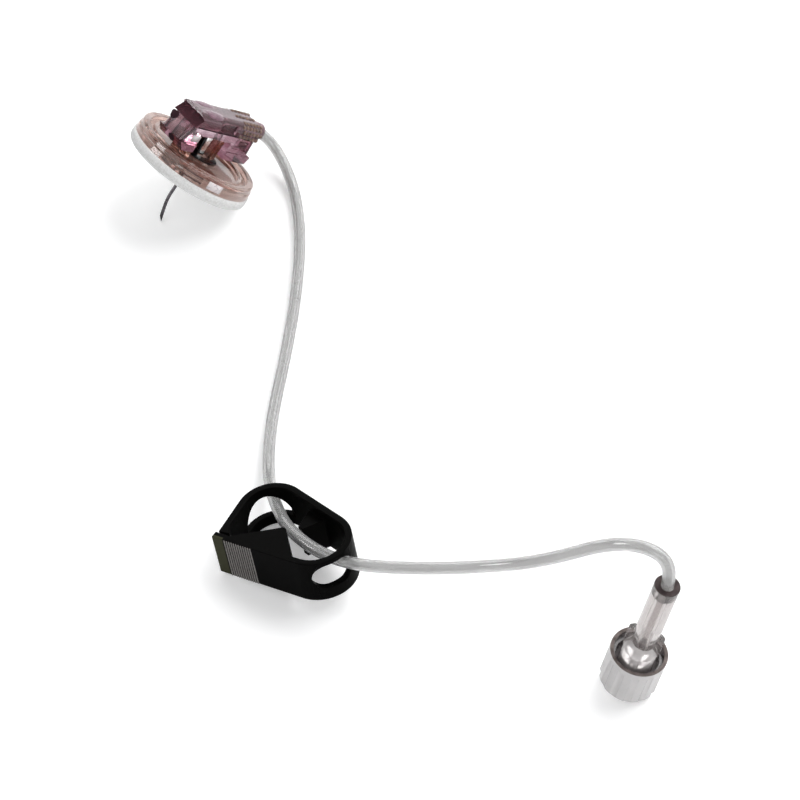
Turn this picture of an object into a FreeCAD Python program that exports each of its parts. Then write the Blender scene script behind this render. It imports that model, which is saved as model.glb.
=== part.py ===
import FreeCAD
import Part
import Sketcher
import math
import os

from FreeCAD import Placement, Rotation, Vector

# A needle set for an implanted port: a round padded base, a two-part hub with
# its cannula, a clear extension tube, a pinch clamp and a capped connector.
# The head's own axes: Z along the needle, up from the pad; X towards the tube.

DIMENSIONS = [
    # Foam pad and base disc
    ("pad_radius", 14.1),
    ("pad_thick", 2.5),
    ("pad_round", 0.9),
    ("base_radius", 13.8),
    ("base_thick", 2.8),
    ("skirt_height", 1.2),
    ("skirt_groove", 0.3),
    ("rim_width", 1.9),
    ("ring_gap", 1.0),
    ("ring_width", 1.0),
    ("ring_drop", 0.3),
    ("dish_drop", 1.1),
    ("boss_radius", 4.6),
    ("boss_height", 0.5),
    ("centre_bore_radius", 2.15),
    ("edge_round", 0.4),
    # Guide posts on the base
    ("post_thick", 1.5),
    ("post_width", 4.4),
    ("front_post_at", 2.05),
    ("rear_post_at", -6.1),
    ("post_head_gap", 0.3),
    # Spring clip
    ("clip_sheet", 0.3),
    ("clip_width", 3.4),
    ("clip_foot_radius", 4.4),
    ("clip_post_gap", 0.1),
    ("clip_leaf_at", 2.6),
    ("clip_leaf_lean", 10.0),
    ("clip_leaf_height", 4.9),
    ("clip_hook", 1.0),
    # Hub shells
    ("hub_width", 6.6),
    ("hub_front", 10.4),
    ("hub_rear", 11.2),
    ("hub_foot", 11.0),
    ("end_round", 1.6),
    ("hub_lift", 1.0),
    ("ledge_height", 1.8),
    ("ledge_groove", 0.35),
    ("ledge_extra", 0.35),
    ("ledge_front", 11.6),
    ("ledge_rear", 12.7),
    ("rear_shoulder", 12.3),
    ("shoulder_height", 3.6),
    ("neck_front", 10.3),
    ("block_front", 9.9),
    ("lower_height", 5.6),
    ("window_front", 3.3),
    ("window_rear", 7.2),
    ("window_height", 3.9),
    ("panel_start", 4.6),
    ("panel_end", 9.3),
    ("panel_margin", 0.6),
    ("panel_depth", 0.3),
    ("cover_height", 3.2),
    ("cover_extra", 0.25),
    ("plate_thick", 0.7),
    ("plate_rear", 10.4),
    ("cover_neck", 9.6),
    ("cover_round", 1.7),
    ("waist_rear", 3.4),
    ("waist_front", 2.2),
    ("waist_depth", 0.45),
    ("waist_margin", 0.5),
    ("snout_front", 12.8),
    ("snout_half", 1.7),
    ("snout_rise", 1.2),
    ("nozzle_root", 1.0),
    ("nozzle_radius", 2.05),
    ("nozzle_end_radius", 1.75),
    ("nozzle_length", 3.6),
    ("tube_axis_up", 1.1),
    # Cannula and ferrule
    ("needle_radius", 0.36),
    ("needle_bore_radius", 0.2),
    ("needle_out", 12.3),
    ("needle_elbow", 1.1),
    ("needle_inlet", 1.0),
    ("needle_straight", 5.3),
    ("tip_bend", 15.0),
    ("tip_bend_radius", 14.0),
    ("tip_bend_turn", -53.0),
    ("tip_bevel", 30.0),
    ("needle_play", 0.03),
    ("ferrule_radius", 1.15),
    ("ferrule_seat", 1.0),
    ("ferrule_length", 6.2),
    # Tube
    ("tube_radius", 1.2),
    ("tube_bore_radius", 0.6),
    ("tube_seat", 3.0),
    ("tube_lead", 3.2),
    ("socket_lead", 7.0),
    # Pinch clamp
    ("clamp_width", 9.5),
    ("clamp_wall", 1.4),
    ("bend_radius", 7.1),
    ("end_radius", 6.8),
    ("back_arm", 12.72),
    ("flex_arm", 18.73),
    ("flex_angle", 15.9),
    ("end_turn", 20.5),
    ("end_wall", 8.65),
    ("latch_reach", 0.9),
    ("latch_step", 0.9),
    ("tooth_front", 3.2),
    ("tooth_back", 1.6),
    ("tooth_peak", 6.9),
    ("tooth_height", 5.9),
    ("tooth_crest", 0.7),
    ("anvil_at", 6.2),
    ("anvil_base", 4.4),
    ("anvil_height", 4.3),
    ("anvil_crest", 1.2),
    ("anvil_width", 7.2),
    ("ridge_count", 12),
    ("ridge_pitch", 0.53),
    ("ridge_width", 0.3),
    ("ridge_height", 0.25),
    ("ridge_start", 2.6),
    ("entry_width", 9.6),
    ("entry_sill", 2.3),
    ("entry_height", 5.2),
    ("entry_turn", 21.0),
    ("exit_width", 8.4),
    ("exit_height", 5.7),
    ("exit_sill", 2.8),
    ("exit_turn", -14.5),
    # Connector
    ("socket_radius", 2.42),
    ("socket_length", 16.0),
    ("socket_seat", 3.0),
    ("fin_reach", 3.5),
    ("fin_thick", 1.3),
    ("fin_height", 5.2),
    ("fin_round", 0.8),
    ("collar_radius", 3.3),
    ("collar_dome", 2.0),
    ("neck_radius", 2.2),
    ("luer_length", 9.2),
    ("luer_mouth_radius", 2.15),
    ("luer_taper", 0.03),
    ("lug_reach", 3.8),
    ("lug_width", 2.2),
    ("lug_height", 1.2),
    ("lug_root", 0.6),
    # Cap
    ("cap_radius", 5.45),
    ("cap_height", 9.8),
    ("cap_floor", 1.6),
    ("cap_bore_radius", 4.15),
    ("cap_mouth_radius", 4.75),
    ("cap_mouth_depth", 1.6),
    ("cap_round", 1.0),
    ("flute_count", 12),
    ("flute_radius", 1.1),
    ("flute_depth", 0.3),
    ("flute_ends", 1.2),
    ("plug_play", 0.05),
    ("plug_length", 6.2),
    ("connector_gap", 0.5),
    ("connector_length", 31.2),
    # Where the head, the clamp and the connector lie
    ("head_azimuth", 35.5),
    ("hub_turn", 5.0),
    ("clamp_x", 8.18),
    ("clamp_y", -98.43),
    ("clamp_lean", 11.5),
    ("clamp_lean_way", 137.8),
    ("clamp_turn", 176.4),
    ("cap_x", 84.3),
    ("cap_y", -123.77),
    ("connector_lean", 10.1),
    ("connector_lean_way", -10.0),
    ("connector_turn", -11.6),
]

# Where the tube runs, as the set lies, between the nozzle and the connector's
# socket. The route's first two and last two points lie on those pieces' axes.
TUBE_POINTS = [
    (19.4, 5.13, 1.25),
    (21.6, -10.37, 1.25),
    (21.1, -27.37, 1.25),
    (19.4, -43.37, 1.25),
    (16.8, -61.37, 1.25),
    (16.4, -74.37, 1.8),
    (17.81, -85.05, 5.8),
    (21.63, -96.77, 10.0),
    (30.97, -104.78, 11.3),
    (45.3, -106.67, 12.3),
    (56.8, -108.57, 15.4),
    (67.8, -112.97, 22.8),
    (81.5, -121.1, 41.3),
]

doc = FreeCAD.newDocument("HuberNeedleSet")
sheet = doc.addObject("Spreadsheet::Sheet", "Dimensions")
for row, (alias, number) in enumerate(DIMENSIONS, start=1):
    sheet.set(f"A{row}", alias)
    sheet.set(f"B{row}", str(number))
    sheet.setAlias(f"B{row}", alias)
doc.recompute()


class Size:
    """A length or an angle: its number now, and the formula the document keeps."""

    def __init__(self, number, formula=None):
        self.number = float(number)
        self.formula = formula or f"({number})"

    def __add__(self, other):
        other = as_size(other)
        return Size(self.number + other.number, f"({self.formula} + {other.formula})")

    def __sub__(self, other):
        other = as_size(other)
        return Size(self.number - other.number, f"({self.formula} - {other.formula})")

    def __mul__(self, other):
        other = as_size(other)
        return Size(self.number * other.number, f"({self.formula} * {other.formula})")

    def __truediv__(self, other):
        other = as_size(other)
        return Size(self.number / other.number, f"({self.formula} / {other.formula})")

    def __neg__(self):
        return Size(-self.number, f"(0 - {self.formula})")


def as_size(value):
    return value if isinstance(value, Size) else Size(value)


def size(alias):
    return Size(getattr(sheet, alias), f"Dimensions.{alias}")


def cosine(angle):
    return Size(math.cos(math.radians(angle.number)), f"cos({angle.formula})")


def sine(angle):
    return Size(math.sin(math.radians(angle.number)), f"sin({angle.formula})")


def bind(feature, name, value):
    value = as_size(value)
    feature.setExpression(name, value.formula)


def new_body(label):
    body = doc.addObject("PartDesign::Body", label)
    body.Label = label
    return body


def sketch_on(body, role, name, at=(0, 0, 0), turn_axis=(0, 0, 1), turn=0.0):
    """A sketch on one of the body's own planes, shifted and turned in that plane's axes."""
    plane = [item for item in body.Origin.OriginFeatures if item.Role == role][0]
    sketch = body.newObject("Sketcher::SketchObject", name)
    sketch.AttachmentSupport = [(plane, "")]
    sketch.MapMode = "FlatFace"
    shift = [as_size(value) for value in at]
    turn = as_size(turn)
    sketch.AttachmentOffset = Placement(
        Vector(*[value.number for value in shift]), Rotation(Vector(*turn_axis), turn.number))
    for axis, value in zip("xyz", shift):
        if "Dimensions" in value.formula:
            bind(sketch, f"AttachmentOffset.Base.{axis}", value)
    return sketch


def lock_one(sketch, geometry, end, kind, value):
    index = sketch.addConstraint(Sketcher.Constraint(kind, -1, 1, geometry, end, value.number))
    sketch.setExpression(f"Constraints[{index}]", value.formula)


def lock_point(sketch, geometry, end, point):
    lock_one(sketch, geometry, end, "DistanceX", point[0])
    lock_one(sketch, geometry, end, "DistanceY", point[1])


def draw_outline(sketch, corners):
    """A closed outline. A corner is (x, y), or (x, y, centre x, centre y, way) where an arc
    leads to the next corner; way is 1 for counter-clockwise and -1 for clockwise."""
    ends = []
    for index, corner in enumerate(corners):
        here = [as_size(value) for value in corner[:2]]
        there = [as_size(value) for value in corners[(index + 1) % len(corners)][:2]]
        start = Vector(here[0].number, here[1].number, 0)
        stop = Vector(there[0].number, there[1].number, 0)
        if len(corner) == 2:
            geometry = sketch.addGeometry(Part.LineSegment(start, stop), False)
            ends.append((geometry, 1, 2, here))
            continue
        centre = Vector(as_size(corner[2]).number, as_size(corner[3]).number, 0)
        way = corner[4]
        first, last = (start, stop) if way > 0 else (stop, start)
        angles = [math.atan2(p.y - centre.y, p.x - centre.x) for p in (first, last)]
        if angles[1] <= angles[0]:
            angles[1] += 2 * math.pi
        circle = Part.Circle(centre, Vector(0, 0, 1), (start - centre).Length)
        geometry = sketch.addGeometry(Part.ArcOfCircle(circle, *angles), False)
        ends.append((geometry, 1, 2, here) if way > 0 else (geometry, 2, 1, here))
        steep = abs(stop.y - start.y) > abs(stop.x - start.x)
        lock_one(sketch, geometry, 3, "DistanceX" if steep else "DistanceY",
                 as_size(corner[2] if steep else corner[3]))
    for index, (geometry, head, tail, here) in enumerate(ends):
        following = ends[(index + 1) % len(ends)]
        sketch.addConstraint(Sketcher.Constraint("Coincident", geometry, tail, following[0], following[1]))
    for geometry, head, tail, here in ends:
        lock_point(sketch, geometry, head, here)


def draw_circle(sketch, x, y, radius):
    x, y, radius = as_size(x), as_size(y), as_size(radius)
    geometry = sketch.addGeometry(
        Part.Circle(Vector(x.number, y.number, 0), Vector(0, 0, 1), radius.number), False)
    lock_point(sketch, geometry, 3, (x, y))
    index = sketch.addConstraint(Sketcher.Constraint("Radius", geometry, radius.number))
    sketch.setExpression(f"Constraints[{index}]", radius.formula)


def draw_rectangle(sketch, low, high):
    draw_outline(sketch, [(low[0], low[1]), (high[0], low[1]), (high[0], high[1]), (low[0], high[1])])


def volume_of(body):
    doc.recompute()
    return body.Shape.Volume if not body.Shape.isNull() else 0.0


def grow(body, kind, name, sketch, length=None, both_ways=False, reverse=False, taper=None):
    """A pad or a revolution that has to add material."""
    before = volume_of(body)
    feature = body.newObject(f"PartDesign::{kind}", name)
    feature.Profile = sketch
    if kind == "Pad":
        bind(feature, "Length", length)
        feature.SideType = "Symmetric" if both_ways else "One side"
        feature.Reversed = reverse
        if taper is not None:
            bind(feature, "TaperAngle", taper)
    else:
        feature.ReferenceAxis = (sketch, ["V_Axis"])
        feature.Angle = 360
    check_change(body, name, before, 1)
    return feature


def cut(body, name, sketch, length=None, both_ways=False, reverse=False, kind="Pocket"):
    """A pocket or a groove that has to take material away."""
    before = volume_of(body)
    feature = body.newObject(f"PartDesign::{kind}", name)
    feature.Profile = sketch
    if kind == "Pocket":
        bind(feature, "Length", length)
        feature.SideType = "Symmetric" if both_ways else "One side"
        feature.Reversed = reverse
    else:
        feature.ReferenceAxis = (sketch, ["V_Axis"])
        feature.Angle = 360
    check_change(body, name, before, -1)
    return feature


def check_change(body, name, before, way):
    change = (volume_of(body) - before) * way
    if change <= 0:
        raise ValueError(f"{body.Label}: {name} changes the volume by {change * way:.4f}")


def edge_names(shape, wanted):
    return [f"Edge{index}" for index, edge in enumerate(shape.Edges, start=1) if wanted(edge)]


def round_edges(body, name, radius, wanted, kind="Fillet"):
    """Fillets or chamfers on the edges of the body's last feature that wanted() picks."""
    before = volume_of(body)
    last = body.Tip
    names = edge_names(last.Shape, wanted)
    feature = body.newObject(f"PartDesign::{kind}", name)
    feature.Base = (last, names)
    bind(feature, "Radius" if kind == "Fillet" else "Size", radius)
    doc.recompute()
    if abs(volume_of(body) - before) < 1e-9:
        raise ValueError(f"{body.Label}: {name} changes nothing")
    return feature


def is_ring(edge, radius, height):
    """Whether an edge is a full circle of that radius about Z at that height."""
    curve = edge.Curve
    if not isinstance(curve, Part.Circle):
        return False
    return abs(curve.Radius - radius.number) < 1e-6 and abs(curve.Center.z - height.number) < 1e-6


def is_rear_side(edge, width):
    """Whether an edge runs up the hub's rear end on one of its sides."""
    middle = edge.CenterOfMass
    beside = abs(abs(middle.y) - width.number / 2) < 1e-6
    return beside and middle.x < -sheet.hub_foot and abs(edge.tangentAt(edge.FirstParameter).y) < 1e-6 \
        and abs(edge.Vertexes[0].Z - edge.Vertexes[-1].Z) > 1e-6


# Heights of the head, from the pad's skin side up the needle's axis
BASE_FLOOR = size("pad_thick")
BASE_TOP = BASE_FLOOR + size("base_thick")
DISH_FLOOR = BASE_TOP - size("dish_drop")
BOSS_TOP = DISH_FLOOR + size("boss_height")
HUB_FLOOR = BASE_TOP + size("hub_lift")
LEDGE_TOP = HUB_FLOOR + size("ledge_height")
SEAM = HUB_FLOOR + size("lower_height")
WINDOW_TOP = HUB_FLOOR + size("window_height")
COVER_TOP = SEAM + size("cover_height")
TUBE_AXIS = SEAM + size("tube_axis_up")
NOZZLE_MOUTH = size("hub_front") + size("nozzle_length")
TUBE_START = NOZZLE_MOUTH - size("tube_seat")

ENTRY_TURN = 180.0 + 90.0 - sheet.entry_turn
EXIT_TURN = 90.0 + sheet.exit_turn
CONNECTOR_TOP = size("connector_length")
ARC_SHARE = 0.45


def make_foam_pad():
    body = new_body("foam_pad")
    sketch = sketch_on(body, "XZ_Plane", "pad_section")
    draw_rectangle(sketch, (size("centre_bore_radius"), 0), (size("pad_radius"), size("pad_thick")))
    grow(body, "Revolution", "pad_ring", sketch)
    round_edges(body, "pad_edge", size("pad_round"), lambda edge: is_ring(edge, size("pad_radius"), as_size(0)))
    return body


def make_base_disc():
    """A dished disc with a rim, a ring inside it, and two posts that guide the hub."""
    body = new_body("base_disc")
    outer = size("base_radius")
    skirt_top = BASE_FLOOR + size("skirt_height")
    inset = outer - size("skirt_groove")
    rim_inner = outer - size("rim_width")
    ring_outer = rim_inner - size("ring_gap")
    ring_inner = ring_outer - size("ring_width")
    ring_top = BASE_TOP - size("ring_drop")
    section = sketch_on(body, "XZ_Plane", "disc_section")
    draw_outline(section, [
        (size("centre_bore_radius"), BASE_FLOOR),
        (outer, BASE_FLOOR),
        (outer, skirt_top),
        (inset, skirt_top + size("skirt_groove")),
        (inset, BASE_TOP),
        (rim_inner, BASE_TOP),
        (rim_inner, DISH_FLOOR),
        (ring_outer, DISH_FLOOR),
        (ring_outer, ring_top),
        (ring_inner, ring_top),
        (ring_inner, DISH_FLOOR),
        (size("boss_radius"), DISH_FLOOR),
        (size("boss_radius"), BOSS_TOP),
        (size("centre_bore_radius"), BOSS_TOP),
    ])
    grow(body, "Revolution", "disc", section)
    half = size("post_width") / 2
    posts = sketch_on(body, "XY_Plane", "post_plan", at=(0, 0, DISH_FLOOR))
    for place in (size("front_post_at"), size("rear_post_at")):
        draw_rectangle(posts, (place - size("post_thick") / 2, -half),
                       (place + size("post_thick") / 2, half))
    grow(body, "Pad", "posts", posts, WINDOW_TOP - size("post_head_gap") - DISH_FLOOR)
    bore = sketch_on(body, "XY_Plane", "bore_plan", at=(0, 0, BASE_FLOOR))
    draw_circle(bore, 0, 0, size("centre_bore_radius"))
    cut(body, "centre_bore", bore, WINDOW_TOP - BASE_FLOOR, reverse=True)
    rings = [(inset, BASE_TOP), (rim_inner, BASE_TOP), (ring_outer, ring_top), (ring_inner, ring_top)]
    round_edges(body, "ring_rounds", size("edge_round"),
                lambda edge: any(is_ring(edge, *ring) for ring in rings))
    return body


def make_clip():
    """A dark spring: a ring foot on the dish and a leaf that leans up beside the needle."""
    body = new_body("tip_guard_clip")
    sheet_thick = size("clip_sheet")
    foot = BOSS_TOP
    top = foot + size("clip_leaf_height")
    rear = -size("clip_leaf_at")
    drift = size("clip_leaf_height") * sine(size("clip_leaf_lean")) / cosine(size("clip_leaf_lean"))
    plan = sketch_on(body, "XY_Plane", "foot_plan", at=(0, 0, foot))
    draw_circle(plan, 0, 0, size("clip_foot_radius"))
    draw_circle(plan, 0, 0, size("centre_bore_radius"))
    grow(body, "Pad", "foot", plan, sheet_thick)
    side = sketch_on(body, "XZ_Plane", "leaf_side")
    draw_outline(side, [
        (rear, foot),
        (rear + sheet_thick, foot),
        (rear + sheet_thick - drift, top),
        (rear + sheet_thick - drift + size("clip_hook"), top),
        (rear + sheet_thick - drift + size("clip_hook"), top + sheet_thick),
        (rear - drift, top + sheet_thick),
    ])
    grow(body, "Pad", "leaf", side, size("clip_width"), both_ways=True)
    notch = sketch_on(body, "XY_Plane", "post_plan", at=(0, 0, foot))
    half = size("post_width") / 2 + size("clip_post_gap")
    reach = size("post_thick") / 2 + size("clip_post_gap")
    draw_rectangle(notch, (size("front_post_at") - reach, -half), (size("front_post_at") + reach, half))
    cut(body, "post_notch", notch, sheet_thick, reverse=True)
    return body


def make_lower_shell():
    """The lower hub: two legs with finger ledges, joined by a roof over the posts."""
    body = new_body("hub_lower_shell")
    front = size("window_front")
    rear = -size("window_rear")
    side = sketch_on(body, "XZ_Plane", "shell_side")
    draw_outline(side, [
        (-size("hub_foot"), HUB_FLOOR),
        (rear, HUB_FLOOR),
        (rear, WINDOW_TOP),
        (front, WINDOW_TOP),
        (front, HUB_FLOOR),
        (size("hub_foot"), HUB_FLOOR),
        (size("ledge_front"), LEDGE_TOP),
        (size("neck_front"), LEDGE_TOP + size("ledge_groove")),
        (size("block_front"), SEAM),
        (-size("hub_rear"), SEAM),
        (-size("rear_shoulder"), HUB_FLOOR + size("shoulder_height")),
        (-size("ledge_rear"), LEDGE_TOP),
    ])
    grow(body, "Pad", "shell", side, size("hub_width"), both_ways=True)
    round_edges(body, "rear_rounds", size("end_round"), lambda edge: is_rear_side(edge, size("hub_width")))
    wide = size("hub_width") + size("ledge_extra") * 2
    ledges = sketch_on(body, "XZ_Plane", "ledge_side")
    draw_outline(ledges, [
        (-size("hub_foot"), HUB_FLOOR),
        (rear, HUB_FLOOR),
        (rear, LEDGE_TOP),
        (-size("ledge_rear"), LEDGE_TOP),
    ])
    draw_outline(ledges, [
        (front, HUB_FLOOR),
        (size("hub_foot"), HUB_FLOOR),
        (size("ledge_front"), LEDGE_TOP),
        (front, LEDGE_TOP),
    ])
    grow(body, "Pad", "ledges", ledges, wide, both_ways=True)
    depth = size("panel_depth")
    low = LEDGE_TOP + size("ledge_groove") + size("panel_margin")
    high = SEAM - size("panel_margin")
    for name, offset, back in (("near", size("hub_width") / 2, False), ("far", -size("hub_width") / 2, True)):
        panel = sketch_on(body, "XZ_Plane", f"panel_{name}_side", at=(0, 0, offset))
        draw_rectangle(panel, (size("panel_start"), low), (size("panel_end"), high))
        cut(body, f"panel_{name}", panel, depth, reverse=back)
    seat = sketch_on(body, "XY_Plane", "ferrule_plan", at=(0, 0, WINDOW_TOP))
    draw_circle(seat, 0, 0, size("ferrule_radius"))
    cut(body, "ferrule_seat", seat, size("ferrule_seat"), reverse=True)
    hole = sketch_on(body, "XY_Plane", "needle_plan", at=(0, 0, WINDOW_TOP))
    draw_circle(hole, 0, 0, size("needle_radius") + size("needle_play"))
    cut(body, "needle_hole", hole, SEAM - WINDOW_TOP, reverse=True)
    return body


def make_cover():
    """The upper hub: the top plate, the nozzle for the tube and the groove the cannula lies in."""
    body = new_body("hub_cover")
    side = sketch_on(body, "XZ_Plane", "cover_side")
    draw_outline(side, [
        (-size("hub_rear"), SEAM),
        (size("snout_front"), SEAM),
        (size("snout_front"), TUBE_AXIS + size("snout_rise")),
        (size("hub_front"), COVER_TOP),
        (-size("plate_rear"), COVER_TOP),
        (-size("plate_rear"), COVER_TOP - size("plate_thick")),
        (-size("cover_neck"), COVER_TOP - size("plate_thick") * 2),
    ])
    wide = size("hub_width") + size("cover_extra") * 2
    grow(body, "Pad", "cover", side, wide, both_ways=True)
    round_edges(body, "top_rounds", size("cover_round"),
                lambda edge: abs(edge.CenterOfMass.z - COVER_TOP.number) < 1e-6
                and abs(abs(edge.CenterOfMass.y) - wide.number / 2) < 1e-6)
    corners = sketch_on(body, "XY_Plane", "snout_plan", at=(0, 0, SEAM))
    for way in (1, -1):
        side_line = wide / 2 * way
        draw_outline(corners, [
            (size("hub_front"), side_line),
            (size("snout_front"), size("snout_half") * way),
            (size("snout_front") + size("snout_half"), size("snout_half") * way),
            (size("snout_front") + size("snout_half"), side_line),
        ])
    cut(body, "snout_sides", corners, size("cover_height"), reverse=True)
    for name, offset, back in (("near", wide / 2, False), ("far", -wide / 2, True)):
        waist = sketch_on(body, "XZ_Plane", f"waist_{name}_side", at=(0, 0, offset))
        draw_rectangle(waist, (-size("waist_rear"), SEAM + size("waist_margin")),
                       (size("waist_front"), COVER_TOP - size("plate_thick")))
        cut(body, f"waist_{name}", waist, size("waist_depth"), reverse=back)
    root = size("hub_front") - size("nozzle_root")
    nozzle = sketch_on(body, "XZ_Plane", "nozzle_section", at=(0, TUBE_AXIS, 0))
    draw_outline(nozzle, [
        (root, 0),
        (NOZZLE_MOUTH, 0),
        (NOZZLE_MOUTH, size("nozzle_end_radius")),
        (size("hub_front"), size("nozzle_radius")),
        (size("hub_front"), size("nozzle_root")),
        (root, size("nozzle_root")),
    ])
    before = volume_of(body)
    turned = body.newObject("PartDesign::Revolution", "nozzle")
    turned.Profile = nozzle
    turned.ReferenceAxis = (nozzle, ["H_Axis"])
    turned.Angle = 360
    check_change(body, "nozzle", before, 1)
    seat = sketch_on(body, "YZ_Plane", "tube_plan", at=(0, TUBE_AXIS, NOZZLE_MOUTH))
    draw_circle(seat, 0, 0, size("tube_radius"))
    cut(body, "tube_bore", seat, size("tube_seat"))
    flow = sketch_on(body, "YZ_Plane", "flow_plan", at=(0, TUBE_AXIS, TUBE_START))
    draw_circle(flow, 0, 0, size("tube_bore_radius"))
    cut(body, "flow_bore", flow, size("needle_inlet"))
    play = size("needle_radius") + size("needle_play")
    groove = sketch_on(body, "XZ_Plane", "groove_side")
    inlet = TUBE_START - size("needle_inlet")
    draw_rectangle(groove, (-play, SEAM), (inlet, TUBE_AXIS + play))
    cut(body, "needle_groove", groove, play * 2, both_ways=True)
    return body


def make_ferrule():
    body = new_body("needle_ferrule")
    top = WINDOW_TOP + size("ferrule_seat")
    section = sketch_on(body, "XZ_Plane", "ferrule_section")
    draw_rectangle(section, (size("needle_radius"), top - size("ferrule_length") - size("ferrule_seat")),
                   (size("ferrule_radius"), top))
    grow(body, "Revolution", "ferrule", section)
    return body


def swept_tube(wire, radius, bore):
    """A hollow tube along a wire, with flat ends square to it."""
    first = wire.OrderedEdges[0]
    start = wire.OrderedVertexes[0].Point
    if (first.valueAt(first.FirstParameter) - start).Length < 1e-7:
        along = first.tangentAt(first.FirstParameter)
    else:
        along = -first.tangentAt(first.LastParameter)
    solids = []
    for size_now in (radius, bore):
        ring = Part.Wire([Part.makeCircle(size_now, start, along)])
        solids.append(wire.makePipeShell([ring], True, True))
    return solids[0].cut(solids[1])


def make_needle():
    """The cannula: level inside the hub, then square down the axis, with a turned bevelled tip."""
    elbow = sheet.needle_elbow
    height = TUBE_AXIS.number
    start = Vector(TUBE_START.number - sheet.needle_inlet, 0, height)
    corner = Vector(elbow, 0, height)
    below = Vector(0, 0, height - elbow)
    middle = Vector(elbow * (1 - math.sqrt(0.5)), 0, height - elbow * (1 - math.sqrt(0.5)))
    kink = Vector(0, 0, -sheet.needle_straight)
    bend = math.radians(sheet.tip_bend)
    way = math.radians(sheet.tip_bend_turn)
    aside = Vector(math.cos(way), math.sin(way), 0)
    radius = sheet.tip_bend_radius

    def on_bend(angle):
        return kink + aside * (radius * (1 - math.cos(angle))) - Vector(0, 0, radius * math.sin(angle))

    bend_end = on_bend(bend)
    heading = aside * math.sin(bend) - Vector(0, 0, math.cos(bend))
    left = (sheet.needle_out + bend_end.z) / math.cos(bend)
    tip = bend_end + heading * left
    wire = Part.Wire([
        Part.LineSegment(start, corner).toShape(),
        Part.Arc(corner, middle, below).toShape(),
        Part.LineSegment(below, kink).toShape(),
        Part.Arc(kink, on_bend(bend / 2), bend_end).toShape(),
        Part.LineSegment(bend_end, tip).toShape(),
    ])
    shape = swept_tube(wire, sheet.needle_radius, sheet.needle_bore_radius)
    slope = math.radians(sheet.tip_bevel)
    side = Vector(0, 0, 1).cross(aside)
    outward = side.cross(heading).normalize()
    face = (heading * math.sin(slope) + outward * math.cos(slope)).normalize()
    reach = sheet.needle_straight
    heel = tip - outward * sheet.needle_radius
    block = Part.makeBox(reach * 2, reach * 2, reach * 2, Vector(-reach, -reach, 0))
    block.Placement = Placement(heel, Rotation(Vector(0, 0, 1), face))
    piece = doc.addObject("Part::Feature", "needle")
    piece.Label = "needle"
    piece.Shape = shape.cut(block)
    return piece


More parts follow.
